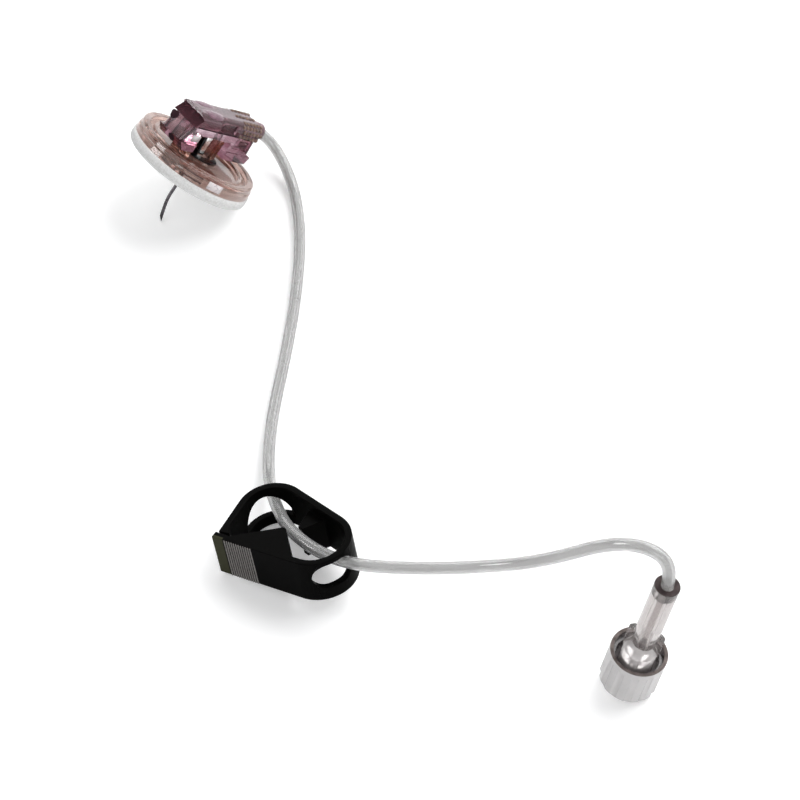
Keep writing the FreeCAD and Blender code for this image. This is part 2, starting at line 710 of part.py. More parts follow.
def make_clamp():
    """The pinch clamp: one bent strip with a tooth on the spring arm, an anvil and a latch."""
    body = new_body("pinch_clamp")
    slope = size("flex_angle")
    wall = size("clamp_wall")
    outer = size("bend_radius")
    inner = outer - wall
    arm = size("flex_arm")
    bend_x = arm * cosine(slope) - outer * sine(slope)
    bend_y = arm * sine(slope) + outer * cosine(slope)

    def on_arm(along, rise, radius):
        """A point beside the spring arm, measured back from the bend and up from a face of it."""
        along = as_size(along)
        rise = as_size(rise)
        base_x = bend_x + radius * sine(slope)
        base_y = bend_y - radius * cosine(slope)
        return (base_x - along * cosine(slope) - rise * sine(slope),
                base_y - along * sine(slope) + rise * cosine(slope))

    end_x = bend_x - size("back_arm")
    end_y = bend_y + outer - size("end_radius")
    end_inner = size("end_radius") - wall
    turn = size("end_turn")

    def on_end(radius, down):
        """A point on the end wall, measured down from the end arc."""
        down = as_size(down)
        return (end_x - radius * cosine(turn) + down * sine(turn),
                end_y - radius * sine(turn) - down * cosine(turn))

    back = bend_y + inner
    anvil_x = bend_x - size("anvil_at")
    crest = size("anvil_crest") / 2
    base = size("anvil_base") / 2
    hook_top = size("end_wall") - size("latch_step") * 2
    outline = [
        on_arm(arm, 0, outer),
        on_arm(0, 0, outer) + (bend_x, bend_y, 1),
        (bend_x, bend_y + outer),
        (end_x, bend_y + outer, end_x, end_y, 1),
        on_end(size("end_radius"), 0),
        on_end(size("end_radius"), size("end_wall")),
        on_end(end_inner - size("latch_reach"), size("end_wall")),
        on_end(end_inner, hook_top),
        on_end(end_inner, 0) + (end_x, end_y, -1),
        (end_x, back),
        (bend_x, back, bend_x, bend_y, -1),
        on_arm(0, 0, inner),
        on_arm(size("tooth_back"), 0, inner),
        on_arm(size("tooth_peak") - size("tooth_crest") / 2, size("tooth_height"), inner),
        on_arm(size("tooth_peak") + size("tooth_crest") / 2, size("tooth_height"), inner),
        on_arm(arm - size("tooth_front"), 0, inner),
        on_arm(arm, 0, inner),
    ]
    side = sketch_on(body, "XY_Plane", "clamp_side")
    draw_outline(side, outline)
    grow(body, "Pad", "loop", side, size("clamp_width"))
    anvil = sketch_on(body, "XY_Plane", "anvil_side")
    draw_outline(anvil, [
        (anvil_x - base, back + wall / 2),
        (anvil_x - base, back),
        (anvil_x - crest, back - size("anvil_height")),
        (anvil_x + crest, back - size("anvil_height")),
        (anvil_x + base, back),
        (anvil_x + base, back + wall / 2),
    ])
    grow(body, "Pad", "anvil", anvil, size("anvil_width"))
    entry = sketch_on(body, "XZ_Plane", "entry_outline", at=(end_x, 0, -end_y),
                      turn_axis=(0, 1, 0), turn=ENTRY_TURN)
    half = size("entry_width") / 2
    spring = size("entry_sill") + size("entry_height") - half
    draw_outline(entry, [
        (-half, size("entry_sill")),
        (half, size("entry_sill")),
        (half, spring, 0, spring, 1),
        (-half, spring),
    ])
    cut(body, "entry", entry, size("end_radius") * 2, reverse=True)
    exit_sketch = sketch_on(body, "XZ_Plane", "exit_outline", at=(bend_x, 0, -bend_y),
                            turn_axis=(0, 1, 0), turn=EXIT_TURN)
    round_end = size("exit_height") / 2
    flat = size("exit_width") / 2 - round_end
    middle = size("exit_sill") + round_end
    draw_outline(exit_sketch, [
        (-flat, middle - round_end),
        (flat, middle - round_end, flat, middle, 1),
        (flat, middle + round_end),
        (-flat, middle + round_end, -flat, middle, 1),
    ])
    cut(body, "exit", exit_sketch, outer * 2, reverse=True)
    ridges = sketch_on(body, "XY_Plane", "ridge_side")
    for count in range(int(sheet.ridge_count)):
        start = arm - size("ridge_start") - size("ridge_pitch") * count
        draw_outline(ridges, [
            on_arm(start, 0, outer),
            on_arm(start - size("ridge_width") / 2, -size("ridge_height"), outer),
            on_arm(start - size("ridge_width"), 0, outer),
        ])
    grow(body, "Pad", "ridges", ridges, size("clamp_width"))
    return body


def make_connector():
    """The clear connector: tapered mouth, collar, two fins and the socket the tube is glued in."""
    body = new_body("luer_connector")
    foot = size("cap_floor") + size("connector_gap")
    shoulder = foot + size("luer_length")
    neck = shoulder + size("collar_dome")
    bottom = CONNECTOR_TOP - size("socket_length")
    seat = CONNECTOR_TOP - size("socket_seat")
    deep = foot + size("plug_length")
    narrow = size("luer_mouth_radius") - size("luer_taper") * size("plug_length")
    section = sketch_on(body, "XZ_Plane", "connector_section")
    draw_outline(section, [
        (size("luer_mouth_radius"), foot),
        (size("collar_radius"), foot),
        (size("collar_radius"), shoulder),
        (size("neck_radius"), neck),
        (size("neck_radius"), bottom),
        (size("socket_radius"), bottom + size("fin_round")),
        (size("socket_radius"), CONNECTOR_TOP),
        (size("tube_radius"), CONNECTOR_TOP),
        (size("tube_radius"), seat),
        (size("tube_bore_radius"), seat),
        (size("tube_bore_radius"), deep),
        (narrow, deep),
    ])
    grow(body, "Revolution", "body", section)
    fins = sketch_on(body, "XZ_Plane", "fin_side")
    inside = size("neck_radius") - size("fin_round") / 2
    for way in (1, -1):
        reach = size("fin_reach") * way
        root = inside * way
        corners = [
            (root, shoulder),
            (reach, shoulder),
            (reach, shoulder + size("fin_height") - size("fin_round")),
            (reach - size("fin_round") * way, shoulder + size("fin_height")),
            (root, shoulder + size("fin_height")),
        ]
        draw_outline(fins, corners)
    grow(body, "Pad", "fins", fins, size("fin_thick"), both_ways=True)
    lugs = sketch_on(body, "XY_Plane", "lug_plan", at=(0, 0, foot))
    half = size("lug_width") / 2
    edge = size("collar_radius") - size("lug_root")
    for way in (1, -1):
        draw_outline(lugs, [
            (-half, edge * way),
            (half, edge * way),
            (half, size("lug_reach") * way),
            (-half, size("lug_reach") * way),
        ])
    grow(body, "Pad", "lugs", lugs, size("lug_height"))
    return body


def make_cap():
    """The clear screw cap: fluted outside, with a plug that seals the connector's mouth."""
    body = new_body("luer_cap")
    floor = size("cap_floor")
    step = size("cap_height") - size("cap_mouth_depth")
    mouth = floor + size("connector_gap")
    plug_low = size("luer_mouth_radius") - size("plug_play")
    plug_high = plug_low - size("luer_taper") * size("plug_length")
    section = sketch_on(body, "XZ_Plane", "cap_section")
    draw_outline(section, [
        (0, 0),
        (size("cap_radius") - size("cap_round"), 0),
        (size("cap_radius"), size("cap_round")),
        (size("cap_radius"), size("cap_height")),
        (size("cap_mouth_radius"), size("cap_height")),
        (size("cap_mouth_radius"), step),
        (size("cap_bore_radius"), step),
        (size("cap_bore_radius"), floor),
        (plug_low, floor),
        (plug_low, mouth),
        (plug_high, floor + size("plug_length")),
        (0, floor + size("plug_length")),
    ])
    grow(body, "Revolution", "shell", section)
    flutes = sketch_on(body, "XY_Plane", "flute_plan")
    ring = size("cap_radius") + size("flute_radius") - size("flute_depth")
    for count in range(int(sheet.flute_count)):
        angle = Size(360.0 / sheet.flute_count * (count + 0.5))
        draw_circle(flutes, ring * cosine(angle), ring * sine(angle), size("flute_radius"))
    cut(body, "flutes", flutes, size("cap_height") - size("flute_ends"), reverse=True)
    return body


def head_tilt():
    """The head lies on the pad's edge and the needle's tip; this is the lean that gives."""
    bend = math.radians(sheet.tip_bend)
    arc_drop = sheet.tip_bend_radius * math.sin(bend)
    arc_side = sheet.tip_bend_radius * (1 - math.cos(bend))
    end = (sheet.needle_out - sheet.needle_straight - arc_drop) / math.cos(bend)
    aside = arc_side + end * math.sin(bend)
    toward = aside * math.cos(math.radians(sheet.tip_bend_turn + sheet.hub_turn))
    run = sheet.pad_radius - toward - sheet.needle_radius
    return math.degrees(math.atan(sheet.needle_out / run))


def turned(azimuth, lean, turn):
    """Lean away from upright towards an azimuth, after a turn about the piece's own axis."""
    return (Rotation(Vector(0, 0, 1), azimuth) * Rotation(Vector(0, 1, 0), lean)
            * Rotation(Vector(0, 0, 1), turn))


def floor_shift(pieces, placement, centred):
    """What moves the placed pieces onto the floor and, if asked, their box over the origin."""
    shapes = []
    for piece in pieces:
        shape = piece.Shape.copy()
        shape.Placement = placement
        shapes.append(shape)
    box = FreeCAD.BoundBox()
    for shape in shapes:
        box.add(shape.optimalBoundingBox())
    middle = box.Center
    return Vector(-middle.x if centred else 0, -middle.y if centred else 0, -box.ZMin)


def rounded_route(points):
    """Straight runs through the points, with an arc at each one that meets the runs squarely."""
    edges = []
    radii = []
    last = points[0]
    for index in range(1, len(points) - 1):
        before = points[index] - points[index - 1]
        after = points[index + 1] - points[index]
        shorter = min(before.Length, after.Length)
        turn = before.getAngle(after)
        setback = shorter * ARC_SHARE
        radii.append(setback / math.tan(turn / 2))
        before.normalize()
        after.normalize()
        start = points[index] - before * setback
        stop = points[index] + after * setback
        inward = (after - before).normalize()
        rise = radii[-1] * (1 / math.cos(turn / 2) - 1)
        edges.append(Part.LineSegment(last, start).toShape())
        edges.append(Part.Arc(start, points[index] + inward * rise, stop).toShape())
        last = stop
    edges.append(Part.LineSegment(last, points[-1]).toShape())
    return Part.Wire(edges), radii


head = [make_foam_pad(), make_base_disc(), make_clip(), make_lower_shell(), make_cover(),
        make_ferrule(), make_needle()]
clamp = make_clamp()
connector = make_connector()
cap = make_cap()
doc.recompute()

lie = Placement(Vector(0, 0, 0), turned(sheet.head_azimuth, head_tilt(), sheet.hub_turn))
lie.Base = floor_shift(head, lie, True)
for piece in head:
    piece.Placement = lie

clamp_lie = Placement(Vector(sheet.clamp_x, sheet.clamp_y, 0),
                      turned(sheet.clamp_lean_way, sheet.clamp_lean, sheet.clamp_turn))
clamp_lie.Base += floor_shift([clamp], clamp_lie, False)
clamp.Placement = clamp_lie

stand = Placement(Vector(sheet.cap_x, sheet.cap_y, 0),
                  turned(sheet.connector_lean_way, sheet.connector_lean, sheet.connector_turn))
stand.Base += floor_shift([cap], stand, False)
connector.Placement = stand
cap.Placement = stand

nozzle_end = [Vector(TUBE_START.number, 0, TUBE_AXIS.number),
              Vector(NOZZLE_MOUTH.number + sheet.tube_lead, 0, TUBE_AXIS.number)]
socket_end = [Vector(0, 0, sheet.connector_length + sheet.socket_lead),
              Vector(0, 0, sheet.connector_length - sheet.socket_seat)]
route = [lie.multVec(point) for point in nozzle_end]
route += [Vector(*point) for point in TUBE_POINTS]
route += [stand.multVec(point) for point in socket_end]
path, bend_radii = rounded_route(route)
tubing = doc.addObject("Part::Feature", "tubing")
tubing.Label = "tubing"
tubing.Shape = swept_tube(path, sheet.tube_radius, sheet.tube_bore_radius)
doc.recompute()

section = math.pi * (sheet.tube_radius ** 2 - sheet.tube_bore_radius ** 2)
if abs(tubing.Shape.Volume / (section * path.Length) - 1) > 0.01:
    raise ValueError("the tube's volume is not its section times its length")
print("tube length", round(path.Length, 2), "smallest bend radius", round(min(bend_radii), 2))
print("bend radii", [round(radius, 1) for radius in bend_radii])
print("route", [tuple(round(value, 3) for value in point) for point in route])

for item in doc.Objects:
    if "Invalid" in item.State or "Error" in item.State:
        raise ValueError(f"{item.Label} did not compute")

os.makedirs("parts", exist_ok=True)
for piece in head + [clamp, connector, cap, tubing]:
    shape = piece.Shape
    if shape.isNull() or not shape.isValid() or len(shape.Solids) != 1:
        raise ValueError(f"{piece.Label} is not one valid solid")
    shape.exportStep(f"parts/{piece.Label}.step")
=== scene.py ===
import math

import bmesh
import bpy
from mathutils import Matrix, Vector


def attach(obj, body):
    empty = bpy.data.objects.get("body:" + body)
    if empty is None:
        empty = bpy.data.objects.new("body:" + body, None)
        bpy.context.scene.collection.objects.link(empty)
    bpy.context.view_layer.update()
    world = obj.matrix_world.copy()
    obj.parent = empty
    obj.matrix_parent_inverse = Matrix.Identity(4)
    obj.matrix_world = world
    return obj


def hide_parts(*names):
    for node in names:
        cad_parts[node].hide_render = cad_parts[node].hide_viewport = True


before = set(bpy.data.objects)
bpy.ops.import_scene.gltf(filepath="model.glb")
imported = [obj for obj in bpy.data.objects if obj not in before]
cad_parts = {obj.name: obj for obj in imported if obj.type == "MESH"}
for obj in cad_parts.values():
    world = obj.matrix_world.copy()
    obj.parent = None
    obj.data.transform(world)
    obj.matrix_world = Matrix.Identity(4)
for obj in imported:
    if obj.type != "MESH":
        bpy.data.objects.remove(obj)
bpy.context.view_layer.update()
MM = 0.001

# The head's own axes as it lies: Z up the needle, X towards the tube
HEAD_AT = Vector((-2.4977, -0.8703, 9.636)) * MM
HEAD_AZIMUTH = 35.5
HEAD_TILT = 43.824
HUB_TURN = 5.0

# The connector's own axes: Z up from the cap's closed face
STAND_AT = Vector((84.3, -123.77, 0.7804)) * MM
STAND_LEAN_WAY = -10.0
STAND_LEAN = 10.1
STAND_TURN = -11.6

# The clamp's own axes: X along the set, Z up its width, from the spring arm's outer corner
CLAMP_AT = Vector((8.18, -98.43, 0.536)) * MM
CLAMP_LEAN_WAY = 137.8
CLAMP_LEAN = 11.5
CLAMP_TURN = 176.4

# Sizes in millimetres, as in the part's source
PAD_RADIUS = 14.1
PAD_THICK = 2.5
BORE_RADIUS = 2.15
TUBE_RADIUS = 1.2
TUBE_BORE_RADIUS = 0.6
SEAM = 11.9
COVER_TOP = 15.1
COVER_HALF = 3.55
COVER_ROUND = 1.7
SHELL_HALF = 3.3
HUB_REAR = 11.2
CONNECTOR_TOP = 31.2
CAP_HEIGHT = 9.8
CAP_BORE_RADIUS = 4.15
CAP_MOUTH_RADIUS = 4.75
COLLAR_RADIUS = 3.3
LEDGE_TOP = 8.1
LEDGE_GROOVE = 0.35

# The clamp's spring arm, in degrees from its own X, as in the part's source
FLEX_ANGLE = 15.9

# Limits in millimetres that pick the places of a second tone, and not sizes of the part
TIP_STRIP = 2.35
TIP_THICK = 0.5
COLLAR_NECK = 13.1
LUER_MOUTH = 2.3
FIN_TOP = 16.2
FIN_EDGE = 1.5

# A face counts as upright where its normal rises by less than this share
FLAT_ACROSS = 0.5

# The tube's route in metres, from the nozzle to the connector's socket. The last two
# points but one are moved by under a millimetre from the source's, to follow the photograph.
TUBE_POINTS = [
    (0.01071, 0.009729, 0.011427),
    (0.014024, 0.012756, 0.00715),
    (0.0194, 0.00513, 0.00125),
    (0.0216, -0.01037, 0.00125),
    (0.0211, -0.02737, 0.00125),
    (0.0194, -0.04337, 0.00125),
    (0.0168, -0.06137, 0.00125),
    (0.0164, -0.07437, 0.0018),
    (0.01781, -0.08505, 0.0058),
    (0.02163, -0.09677, 0.01),
    (0.03097, -0.10478, 0.0113),
    (0.0453, -0.10667, 0.0123),
    (0.0568, -0.10857, 0.0154),
    (0.0678, -0.11297, 0.0228),
    (0.0819, -0.1212, 0.0407),
    (0.09115, -0.12494, 0.03845),
    (0.08917, -0.124629, 0.028543),
]

# Camera and stage
VIEW_TARGET = Vector((42.303, -55.374, 0.0)) * MM
VIEW_ELEVATION = 50.0
VIEW_DISTANCE = 600.0 * MM
LENS = 135.0
SENSOR = 36.0
FLOOR_SIZE = 3.0
BACKDROP_RISE = 0.12
FLOOR_LIFT = 0.25
FLOOR_GREY = 0.9
ROOM_COLOR = (0.80, 0.82, 0.86, 1.0)
ROOM_LIGHT = 0.14
NEAREST = 0.01
FARTHEST = 10.0


def placed(at, azimuth, lean, turn):
    """The matrix that leans a piece from upright towards an azimuth, after its own turn."""
    around = Matrix.Rotation(math.radians(azimuth), 4, "Z")
    over = Matrix.Rotation(math.radians(lean), 4, "Y")
    own = Matrix.Rotation(math.radians(turn), 4, "Z")
    return Matrix.Translation(at) @ around @ over @ own


HEAD = placed(HEAD_AT, HEAD_AZIMUTH, HEAD_TILT, HUB_TURN)
STAND = placed(STAND_AT, STAND_LEAN_WAY, STAND_LEAN, STAND_TURN)
CLAMP = placed(CLAMP_AT, CLAMP_LEAN_WAY, CLAMP_LEAN, CLAMP_TURN)
ARM = Vector((math.cos(math.radians(FLEX_ANGLE)), math.sin(math.radians(FLEX_ANGLE)), 0.0))
ARM_OUT = Vector((ARM.y, -ARM.x, 0.0))


# Node groups

def grain_group():
    """A fine surface grain on object coordinates: a bumped normal and a shade from 0 to 1."""
    group = bpy.data.node_groups.new("surface_grain", "ShaderNodeTree")
    face = group.interface
    face.new_socket("Scale", in_out="INPUT", socket_type="NodeSocketFloat")
    face.new_socket("Stretch", in_out="INPUT", socket_type="NodeSocketVector")
    face.new_socket("Height", in_out="INPUT", socket_type="NodeSocketFloat")
    face.new_socket("Normal", in_out="OUTPUT", socket_type="NodeSocketVector")
    face.new_socket("Shade", in_out="OUTPUT", socket_type="NodeSocketFloat")
    nodes, links = group.nodes, group.links
    entry = nodes.new("NodeGroupInput")
    leave = nodes.new("NodeGroupOutput")
    where = nodes.new("ShaderNodeTexCoord")
    scaled = nodes.new("ShaderNodeVectorMath")
    scaled.operation = "MULTIPLY"
    noise = nodes.new("ShaderNodeTexNoise")
    noise.inputs["Detail"].default_value = 4.0
    noise.inputs["Roughness"].default_value = 0.6
    bump = nodes.new("ShaderNodeBump")
    bump.inputs["Distance"].default_value = 1.0
    links.new(where.outputs["Object"], scaled.inputs[0])
    links.new(entry.outputs["Stretch"], scaled.inputs[1])
    links.new(scaled.outputs["Vector"], noise.inputs["Vector"])
    links.new(entry.outputs["Scale"], noise.inputs["Scale"])
    height = nodes.new("ShaderNodeMath")
    height.operation = "MULTIPLY"
    links.new(noise.outputs["Fac"], height.inputs[0])
    links.new(entry.outputs["Height"], height.inputs[1])
    links.new(height.outputs["Value"], bump.inputs["Height"])
    links.new(bump.outputs["Normal"], leave.inputs["Normal"])
    links.new(noise.outputs["Fac"], leave.inputs["Shade"])
    return group


GRAIN = grain_group()


def edge_group():
    """A mask that is 1 on a piece's rounded outer edges and 0 on its flats, where clear plastics get
    their painted shade.
    """
    group = bpy.data.node_groups.new("edge_mask", "ShaderNodeTree")
    group.interface.new_socket("Start", in_out="INPUT", socket_type="NodeSocketFloat")
    group.interface.new_socket("End", in_out="INPUT", socket_type="NodeSocketFloat")
    group.interface.new_socket("Mask", in_out="OUTPUT", socket_type="NodeSocketFloat")
    entry = group.nodes.new("NodeGroupInput")
    leave = group.nodes.new("NodeGroupOutput")
    surface = group.nodes.new("ShaderNodeNewGeometry")
    spread = group.nodes.new("ShaderNodeMapRange")
    group.links.new(surface.outputs["Pointiness"], spread.inputs["Value"])
    group.links.new(entry.outputs["Start"], spread.inputs["From Min"])
    group.links.new(entry.outputs["End"], spread.inputs["From Max"])
    group.links.new(spread.outputs["Result"], leave.inputs["Mask"])
    return group


EDGES = edge_group()


def new_material(name):
    """A material with its node tree and its main shader."""
    material = bpy.data.materials.new(name)
    material.use_nodes = True
    return material, material.node_tree, material.node_tree.nodes["Principled BSDF"]


def add_grain(tree, shader, scale, height, stretch=(1.0, 1.0, 1.0)):
    """Grain on a shader's normal. Scale is waves per metre, height in metres."""
    node = tree.nodes.new("ShaderNodeGroup")
    node.node_tree = GRAIN
    node.inputs["Scale"].default_value = scale
    node.inputs["Stretch"].default_value = stretch
    node.inputs["Height"].default_value = height
    tree.links.new(node.outputs["Normal"], shader.inputs["Normal"])
    return node


def add_ramp(tree, source, target, low, high, start=0.3, stop=0.7):
    """A grey or coloured ramp from a node's shade into a shader's socket."""
    ramp = tree.nodes.new("ShaderNodeValToRGB")
    ramp.color_ramp.elements[0].position = start
    ramp.color_ramp.elements[1].position = stop
    ramp.color_ramp.elements[0].color = low
    ramp.color_ramp.elements[1].color = high
    tree.links.new(source, ramp.inputs["Fac"])
    tree.links.new(ramp.outputs["Color"], target)
    return ramp


def grey(value):
    """An opaque grey."""
    return (value, value, value, 1.0)


# Where the edge mask starts and ends, for the painted shade on the clear plastics' rounded edges
EDGE_START = 0.51
EDGE_END = 0.58
CLEAR_VARIES = (0.7, 1.3)
METAL_VARIES = (0.7, 1.4)
SOLID_VARIES = (0.8, 1.2)
SOLID_SPECULAR = 0.02


def vary_roughness(tree, shader, node, roughness, varies):
    """Roughness that follows the grain's shade, between two shares of its middle value."""
    low, high = varies
    add_ramp(tree, node.outputs["Shade"], shader.inputs["Roughness"],
             grey(roughness * low), grey(roughness * high))


def clear_plastic(name, light, dark, clearness, roughness, ior=1.49, scale=400.0, height=0.00002,
                  edge=None):
    """Clear or tinted moulding: mostly glass, a little body colour, and painted shade on its rounded
    edges.
    """
    material, tree, shader = new_material(name)
    shader.inputs["Transmission Weight"].default_value = clearness
    shader.inputs["IOR"].default_value = ior
    node = add_grain(tree, shader, scale, height)
    ramp = add_ramp(tree, node.outputs["Shade"], shader.inputs["Base Color"], dark, light)
    vary_roughness(tree, shader, node, roughness, CLEAR_VARIES)
    # Painted shade: the rounded edges mix towards the darker edge colour, standing in for the dark
    # that refraction gives them
    if edge is not None:
        mask = tree.nodes.new("ShaderNodeGroup")
        mask.node_tree = EDGES
        mask.inputs["Start"].default_value = EDGE_START
        mask.inputs["End"].default_value = EDGE_END
        mix = tree.nodes.new("ShaderNodeMix")
        mix.data_type = "RGBA"
        mix.inputs["B"].default_value = edge
        tree.links.new(mask.outputs["Mask"], mix.inputs["Factor"])
        tree.links.new(ramp.outputs["Color"], mix.inputs["A"])
        tree.links.new(mix.outputs["Result"], shader.inputs["Base Color"])
    return material


def metal(name, light, dark, roughness, scale, height):
    """Steel with a fine grain in its colour, gloss and surface."""
    material, tree, shader = new_material(name)
    shader.inputs["Metallic"].default_value = 1.0
    node = add_grain(tree, shader, scale, height)
    add_ramp(tree, node.outputs["Shade"], shader.inputs["Base Color"], dark, light)
    vary_roughness(tree, shader, node, roughness, METAL_VARIES)
    return material


def solid_plastic(name, light, dark, roughness, scale, height):
    """Opaque moulding with little gloss."""
    material, tree, shader = new_material(name)
    shader.inputs["Specular IOR Level"].default_value = SOLID_SPECULAR
    node = add_grain(tree, shader, scale, height)
    add_ramp(tree, node.outputs["Shade"], shader.inputs["Base Color"], dark, light)
    vary_roughness(tree, shader, node, roughness, SOLID_VARIES)
    return material


FOAM_SCALE = 2600.0
FOAM_HEIGHT = 0.00009
FOAM_DEPTH = 0.8


def foam_material():
    """Soft white foam: light goes a little way in, and its cells show as a coarse grain."""
    material, tree, shader = new_material("open_foam")
    shader.inputs["Subsurface Weight"].default_value = 0.25
    shader.inputs["Subsurface Radius"].default_value = (1.0, 0.95, 0.9)
    shader.inputs["Subsurface Scale"].default_value = FOAM_DEPTH * MM
    shader.inputs["Specular IOR Level"].default_value = 0.2
    node = add_grain(tree, shader, FOAM_SCALE, FOAM_HEIGHT)
    add_ramp(tree, node.outputs["Shade"], shader.inputs["Base Color"],
             (0.60, 0.60, 0.585, 1.0), (0.80, 0.80, 0.80, 1.0))
    add_ramp(tree, node.outputs["Shade"], shader.inputs["Roughness"], grey(0.85), grey(1.0))
    return material


BASE_PINK = clear_plastic(
    "base_pink", light=(0.92, 0.72, 0.66, 1.0), dark=(0.68, 0.43, 0.37, 1.0),
    clearness=0.90, roughness=0.05, edge=(0.34, 0.14, 0.10, 1.0))
# Painted shade: near-black strips for the inside of a slot in the base's rim
RIM_SLOT_SHADE = clear_plastic(
    "rim_slot_painted_shade", light=(0.13, 0.055, 0.045, 1.0), dark=(0.07, 0.028, 0.022, 1.0),
    clearness=0.15, roughness=0.06)
HUB_LILAC = clear_plastic(
    "hub_lilac", light=(0.90, 0.74, 0.80, 1.0), dark=(0.54, 0.34, 0.42, 1.0),
    clearness=0.90, roughness=0.03, scale=300.0, height=0.000010, edge=(0.26, 0.11, 0.15, 1.0))
COVER_LILAC = clear_plastic(
    "cover_lilac", light=(0.80, 0.58, 0.66, 1.0), dark=(0.48, 0.27, 0.35, 1.0),
    clearness=0.84, roughness=0.03, ior=1.36, scale=300.0, height=0.000010,
    edge=(0.26, 0.11, 0.14, 1.0))
# Painted shade for the walls of the groove above the hub's finger ledges
GROOVE_SHADE = clear_plastic(
    "groove_painted_shade", light=(0.34, 0.17, 0.22, 1.0), dark=(0.24, 0.10, 0.14, 1.0),
    clearness=0.55, roughness=0.12)
AMBER = clear_plastic(
    "amber_lens", light=(0.42, 0.26, 0.20, 1.0), dark=(0.09, 0.045, 0.03, 1.0),
    clearness=0.45, roughness=0.06, scale=1400.0)
TUBE_CLEAR = clear_plastic(
    "tube_clear", light=(0.70, 0.70, 0.695, 1.0), dark=(0.68, 0.68, 0.675, 1.0),
    clearness=0.78, roughness=0.12, scale=150.0, height=0.0)
CONNECTOR_CLEAR = clear_plastic(
    "connector_clear", light=(0.74, 0.71, 0.70, 1.0), dark=(0.66, 0.62, 0.61, 1.0),
    clearness=0.90, roughness=0.03, height=0.000006, edge=(0.30, 0.25, 0.24, 1.0))
# Painted highlight: a paler copy of the connector's clear plastic for its collar and dome
COLLAR_HIGHLIGHT = clear_plastic(
    "collar_painted_highlight", light=(0.92, 0.89, 0.88, 1.0), dark=(0.80, 0.76, 0.75, 1.0),
    clearness=0.50, roughness=0.06, height=0.000006)
# Painted shade: near black for the socket's mouth and the fins' outer ends on the clear connector
SOCKET_AND_FIN_SHADE = solid_plastic(
    "socket_and_fin_painted_shade", light=(0.09, 0.07, 0.07, 1.0), dark=(0.04, 0.03, 0.03, 1.0),
    roughness=0.30, scale=900.0, height=0.000004)
CAP_CLEAR = clear_plastic(
    "cap_clear", light=(0.96, 0.94, 0.94, 1.0), dark=(0.90, 0.88, 0.88, 1.0),
    clearness=0.45, roughness=0.10, height=0.000008)
# Painted shade: a dark copy of the cap's plastic for its rim
CAP_RIM_SHADE = solid_plastic(
    "cap_rim_painted_shade", light=(0.20, 0.17, 0.16, 1.0), dark=(0.08, 0.065, 0.06, 1.0),
    roughness=0.30, scale=700.0, height=0.000004)
# Painted shade: a darker copy of the cover's lilac for the bosses on its top
TOP_LENS_SHADED = clear_plastic(
    "top_lens_painted_shade", light=(0.52, 0.30, 0.39, 1.0), dark=(0.32, 0.16, 0.23, 1.0),
    clearness=0.60, roughness=0.03, ior=1.40, height=0.000006)
# Painted highlight: pale plates for the reflections on the hub's sides and on the base's rim
HIGHLIGHT_PANEL = clear_plastic(
    "painted_highlight_panel", light=(0.95, 0.90, 0.91, 1.0), dark=(0.86, 0.78, 0.80, 1.0),
    clearness=0.30, roughness=0.30, scale=1200.0)
CAP_SHADE = clear_plastic(
    "cap_shade", light=(0.12, 0.10, 0.10, 1.0), dark=(0.05, 0.04, 0.04, 1.0),
    clearness=0.30, roughness=0.10)
# Near black, for the dark spots on the hub's rear and the joint line with its painted shade along the
# seam
DARK_SPOTS_AND_SEAM_SHADE = solid_plastic(
    "dark_spots_and_seam_shade", light=(0.045, 0.022, 0.028, 1.0), dark=(0.018, 0.009, 0.011, 1.0),
    roughness=0.25, scale=900.0, height=0.000004)
FERRULE_STEEL = metal(
    "ferrule_steel", light=(0.86, 0.87, 0.87, 1.0), dark=(0.66, 0.66, 0.66, 1.0),
    roughness=0.09, scale=900.0, height=0.000004)
# Painted shade: the needle's steel is darkened close to black, as it lies in shade under the pad
NEEDLE_STEEL_SHADED = metal(
    "needle_steel_painted_shade", light=(0.13, 0.12, 0.13, 1.0), dark=(0.06, 0.055, 0.06, 1.0),
    roughness=0.26, scale=1600.0, height=0.000004)
# Painted shade: the clip's steel is made near black, as it lies in shade under the hub
CLIP_STEEL_SHADED = metal(
    "clip_steel_painted_shade", light=(0.05, 0.05, 0.05, 1.0), dark=(0.02, 0.02, 0.02, 1.0),
    roughness=0.28, scale=1200.0, height=0.000006)
CLAMP_BLACK = solid_plastic(
    "clamp_black", light=(0.0022, 0.0021, 0.0019, 1.0), dark=(0.0010, 0.0010, 0.0010, 1.0),
    roughness=0.40, scale=1500.0, height=0.000006)
# Painted highlight: a light grey for the ridge flanks that catch the light
RIDGE_HIGHLIGHT = solid_plastic(
    "ridge_painted_highlight", light=(0.24, 0.23, 0.22, 1.0), dark=(0.15, 0.14, 0.135, 1.0),
    roughness=0.50, scale=2500.0, height=0.000012)
FOAM = foam_material()
OLIVE = (0.040, 0.040, 0.024, 1.0)


